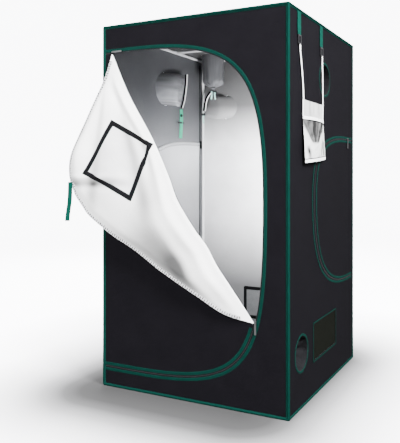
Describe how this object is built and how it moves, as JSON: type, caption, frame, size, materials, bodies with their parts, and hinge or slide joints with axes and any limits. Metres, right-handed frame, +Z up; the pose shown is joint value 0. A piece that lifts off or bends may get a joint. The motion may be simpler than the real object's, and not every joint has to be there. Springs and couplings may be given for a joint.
{
  "type": "indoor grow tent",
  "caption": "Square indoor grow tent: steel poles in a black cloth cover, bright inside, its round-cornered front door unzipped and folded down, with side doors, duct ports and a tool pouch.",
  "frame": {"origin": "middle of the underside of the square floor, on the ground", "axes": "+Z up, -Y out of the front door, +X towards the wall with the tool pouch"},
  "size_m": [1.1676, 1.124, 1.8],
  "materials": {
    "outer_cloth": "matt near-black woven polyester with a fine grid",
    "inner_cloth": "soft bright reflective film face of the cloth",
    "green_binding": "dark green woven binding tape",
    "green_webbing": "green ribbed webbing",
    "white_steel": "white powder-coated steel tube",
    "black_steel": "black powder-coated steel",
    "black_tape": "black hook-and-loop tape",
    "window_cover": "light grey coated cloth",
    "dark_sleeve": "black soft cloth sleeve",
    "vent_mesh": "dark olive woven mesh",
    "pouch_film": "crinkled silver-white film",
    "zip_metal": "bright plated zip metal",
    "clip_plastic": "black moulded plastic"
  },
  "bodies": {
    "tent": {"back_port": "inner_cloth", "back_vent": "black_tape", "back_wall": "outer_cloth", "bottom_rail_back": "white_steel", "bottom_rail_front": "white_steel", "bottom_rail_left": "white_steel", "bottom_rail_right": "white_steel", "connector_back_left_bottom": "black_steel", "connector_back_left_top": "black_steel", "connector_back_right_bottom": "black_steel", "connector_back_right_top": "black_steel", "connector_front_left_bottom": "black_steel", "connector_front_left_top": "black_steel", "connector_front_right_bottom": "black_steel", "connector_front_right_top": "black_steel", "edge_binding": "green_binding", "floor_panel": "inner_cloth", "front_door_lower": "outer_cloth", "front_door_lower_piping": "green_binding", "front_door_piping": "green_binding", "front_wall": "outer_cloth", "left_side_wall_piping": "green_binding", "left_upper_port": "inner_cloth", "left_wall": "outer_cloth", "organizer_strap_front": "green_webbing", "organizer_strap_rear": "green_webbing", "post_back_left": "white_steel", "post_back_right": "white_steel", "post_front_left": "white_steel", "post_front_right": "white_steel", "right_lower_port": "dark_sleeve", "right_side_wall_piping": "green_binding", "right_upper_port": "dark_sleeve", "right_vent": "vent_mesh", "right_wall": "outer_cloth", "roof_panel": "outer_cloth", "roof_port": "inner_cloth", "top_rail_back": "white_steel", "top_rail_front": "white_steel", "top_rail_left": "white_steel", "top_rail_right": "white_steel"},
    "front_flap": {"front_door_flap": "inner_cloth", "front_window_tape": "black_tape", "door_tie_strap": "green_webbing"},
    "window_cover": {"front_window_cover": "window_cover"},
    "right_door": {"right_side_door": "outer_cloth", "right_side_door_piping": "green_binding"},
    "left_door": {"left_side_door": "outer_cloth", "left_side_door_piping": "green_binding"},
    "organizer": {"organizer_pouch": "pouch_film", "organizer_clip_front": "clip_plastic", "organizer_clip_rear": "clip_plastic"},
    "front_bar": {"hanging_bar_front": "white_steel"},
    "rear_bar": {"hanging_bar_rear": "white_steel"},
    "tray": {"floor_tray": "inner_cloth"},
    "top_slider": {"front_slider_top": "zip_metal"},
    "low_slider": {"front_slider_low": "zip_metal"},
    "low_pull": {"front_pull_low": "zip_metal"},
    "right_slider": {"right_side_slider": "zip_metal"},
    "left_slider": {"left_side_slider": "zip_metal"}
  },
  "joints": [
    {"name": "front_flap_fold", "type": "hinge", "parent": "tent", "child": "front_flap", "pos_m": [-0.445, -0.4991, 1.663], "axis": [-0.5257, 0, 0.8507], "range_deg": [0, 165]},
    {"name": "window_cover_hinge", "type": "hinge", "parent": "front_flap", "child": "window_cover", "pos_m": [-0.26084, -0.53982, 1.07811], "axis": [0.434, 0.1623, 0.8862], "range_deg": [0, 120]},
    {"name": "right_door_hinge", "type": "hinge", "parent": "tent", "child": "right_door", "pos_m": [0.4975, 0.47, 0.868], "axis": [0, 0, -1], "range_deg": [0, 90]},
    {"name": "left_door_hinge", "type": "hinge", "parent": "tent", "child": "left_door", "pos_m": [-0.5003, 0.47, 0.868], "axis": [0, 0, -1], "range_deg": [0, 160]},
    {"name": "organizer_swing", "type": "hinge", "parent": "tent", "child": "organizer", "pos_m": [0.5043, -0.22, 1.6844], "axis": [0, -1, 0], "range_deg": [0, 60]},
    {"name": "front_bar_slide", "type": "slide", "parent": "tent", "child": "front_bar", "axis": [0, 1, 0], "range_m": [-0.2, 0.15]},
    {"name": "rear_bar_slide", "type": "slide", "parent": "tent", "child": "rear_bar", "axis": [0, 1, 0], "range_m": [-0.1, 0.12]},
    {"name": "tray_lift", "type": "slide", "parent": "tent", "child": "tray", "axis": [0, 0, 1], "range_m": [0, 0.08]},
    {"name": "top_slider_slide", "type": "slide", "parent": "tent", "child": "top_slider", "axis": [1, 0, 0], "range_m": [0, 0.12]},
    {"name": "low_slider_slide", "type": "slide", "parent": "tent", "child": "low_slider", "axis": [0.27, 0, 0.9629], "range_m": [-0.02, 0.03]},
    {"name": "low_pull_swing", "type": "hinge", "parent": "low_slider", "child": "low_pull", "pos_m": [0.34274, -0.5046, 0.4067], "axis": [-1, 0, 0], "range_deg": [0, 150]},
    {"name": "right_slider_slide", "type": "slide", "parent": "tent", "child": "right_slider", "axis": [0, -1, 0], "range_m": [0, 0.08]},
    {"name": "left_slider_slide", "type": "slide", "parent": "tent", "child": "left_slider", "axis": [0, -1, 0], "range_m": [0, 0.08]}
  ]
}
